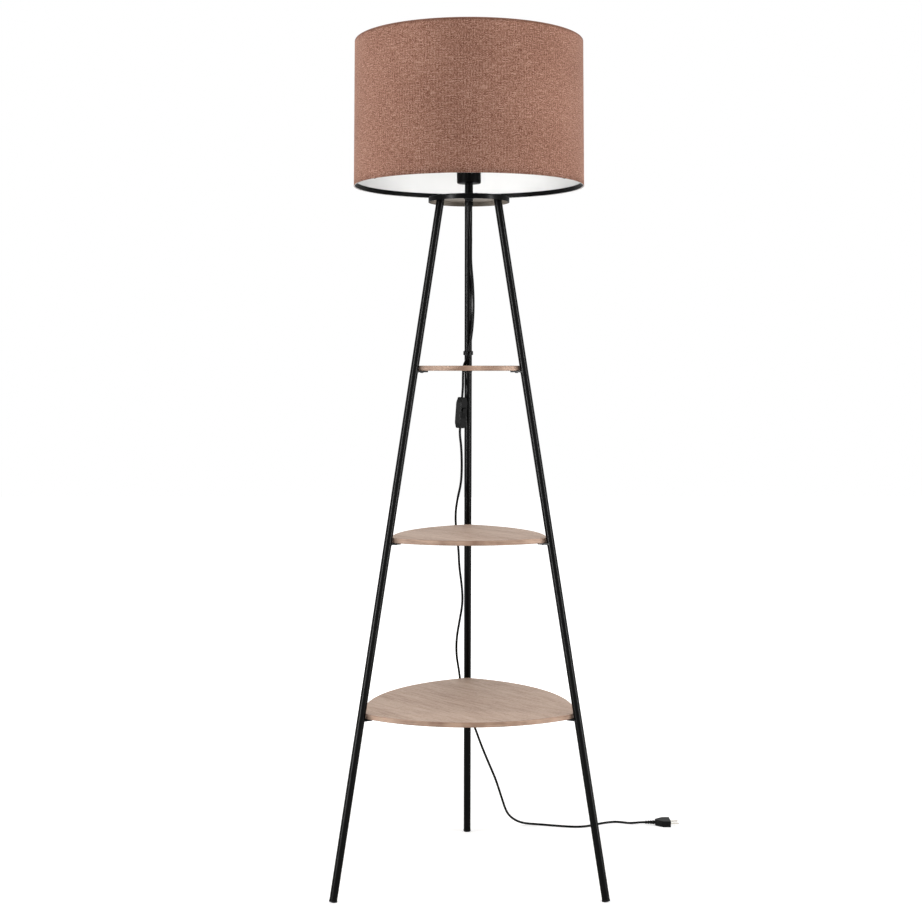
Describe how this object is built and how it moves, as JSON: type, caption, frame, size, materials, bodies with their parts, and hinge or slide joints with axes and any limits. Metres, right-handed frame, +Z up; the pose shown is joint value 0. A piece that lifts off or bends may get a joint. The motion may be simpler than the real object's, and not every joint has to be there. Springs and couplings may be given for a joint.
{
  "type": "shelf floor lamp",
  "caption": "Tripod floor lamp of black tube steel with bulge-sided wooden shelves between the legs, a cloth drum shade, and a mains cord with an in-line rocker switch and plug.",
  "frame": {"origin": "middle of the lamp's footprint box on the floor, measured without the cord, switch and plug", "axes": "+Z up; +X to the viewer's right in the picture; +Y away from the viewer, along the rear leg"},
  "size_m": [0.749, 0.5933, 1.668],
  "materials": {
    "black_steel": "satin",
    "black_plastic": "matte",
    "zinc_steel": "zinc plated",
    "black_screw": "black oxide",
    "cord_sheath": "matte",
    "brass": "plain",
    "shade_fabric": "woven linen look",
    "shade_liner": "matte white",
    "oak_board": "matt greyed oak",
    "switch_plastic": "fine grained",
    "chrome_pins": "bright"
  },
  "bodies": {
    "lamp": {"left_leg": "black_steel", "right_leg": "black_steel", "rear_leg": "black_steel", "left_foot_cap": "black_plastic", "right_foot_cap": "black_plastic", "rear_foot_cap": "black_plastic", "leg_top_plugs": "black_steel", "leg_bolts": "zinc_steel", "top_plate": "black_steel", "stem_tube": "black_steel", "threaded_tube": "zinc_steel", "plate_nut": "zinc_steel", "cord_bush": "black_plastic", "inner_lead": "cord_sheath", "socket_cup": "black_steel", "cup_nut": "zinc_steel", "holder_cap": "black_plastic", "terminal_block": "black_plastic", "holder_shell": "black_plastic", "lamp_thread": "brass", "centre_contact": "brass", "shade_fabric": "shade_fabric", "shade_liner": "shade_liner", "shade_bottom_ring": "black_steel", "shade_top_ring": "black_steel", "shade_spider": "black_steel", "shade_clamp_ring": "black_plastic", "top_shelf": "oak_board", "middle_shelf": "oak_board", "bottom_shelf": "oak_board", "top_shelf_brackets": "black_steel", "middle_shelf_brackets": "black_steel", "bottom_shelf_brackets": "black_steel", "shelf_screws": "black_screw", "cable_clip": "black_plastic", "cord_upper": "cord_sheath", "cord_lower": "cord_sheath", "switch_front": "switch_plastic", "switch_back": "switch_plastic", "switch_screws": "zinc_steel", "rocker_pin": "zinc_steel", "switch_contacts": "brass", "plug_body": "switch_plastic", "plug_pins": "chrome_pins"},
    "rocker": {"switch_rocker": "switch_plastic"}
  },
  "joints": [
    {"name": "rocker_hinge", "type": "hinge", "parent": "lamp", "child": "rocker", "pos_m": [-0.01116, 0.06539, 0.93768], "axis": [0.5877, 0.8089, -0.0168], "range_deg": [-14, 0]}
  ]
}
